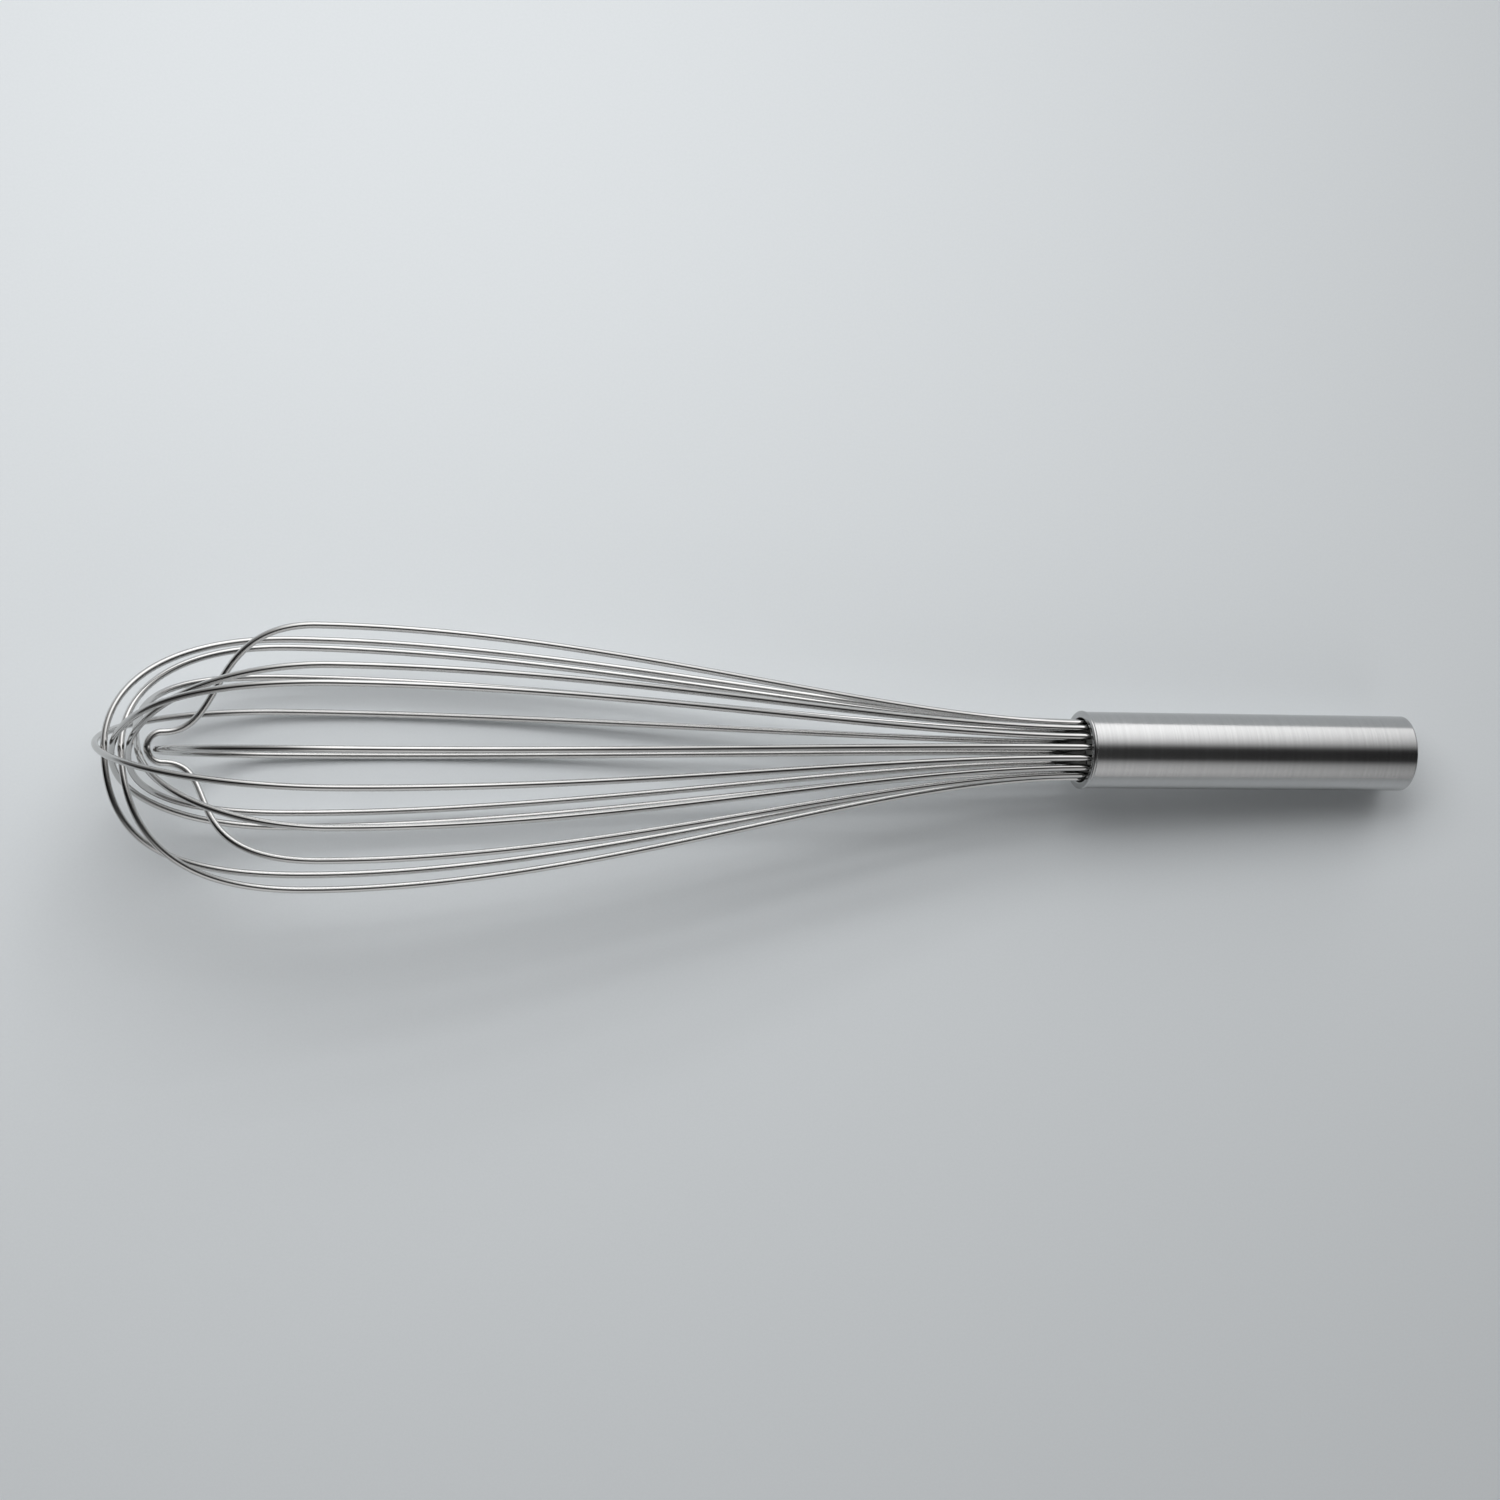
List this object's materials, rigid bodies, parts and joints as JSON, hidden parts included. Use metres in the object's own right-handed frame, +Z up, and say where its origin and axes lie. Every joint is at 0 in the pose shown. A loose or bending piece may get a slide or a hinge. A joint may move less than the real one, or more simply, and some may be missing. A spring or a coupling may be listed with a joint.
{
  "type": "french whisk",
  "caption": "Long stainless steel kitchen whisk with a plain round tube handle and a slim balloon of nested sprung wire loops crossing at the tip.",
  "frame": {"origin": "on the table under the middle of the whisk's box, with the whisk lying at rest", "axes": "+X along the whisk from the wire tips toward the butt of the handle, +Z up, +Y across the whisk"},
  "size_m": [0.4558, 0.0862, 0.0914],
  "materials": {
    "tube_steel": "fine brushing round the tube",
    "wire_steel": "drawn and polished",
    "plate_steel": "plain cut plate",
    "seal_resin": "cast resin, dark"
  },
  "bodies": {
    "root": {"handle_tube": "tube_steel", "end_cap": "tube_steel", "resin_seal": "seal_resin", "wire_retainer": "plate_steel", "wire_loop_1": "wire_steel", "wire_loop_2": "wire_steel", "wire_loop_3": "wire_steel", "wire_loop_4": "wire_steel", "wire_loop_5": "wire_steel", "wire_loop_6": "wire_steel", "wire_loop_7": "wire_steel", "wire_loop_8": "wire_steel"}
  },
  "joints": []
}
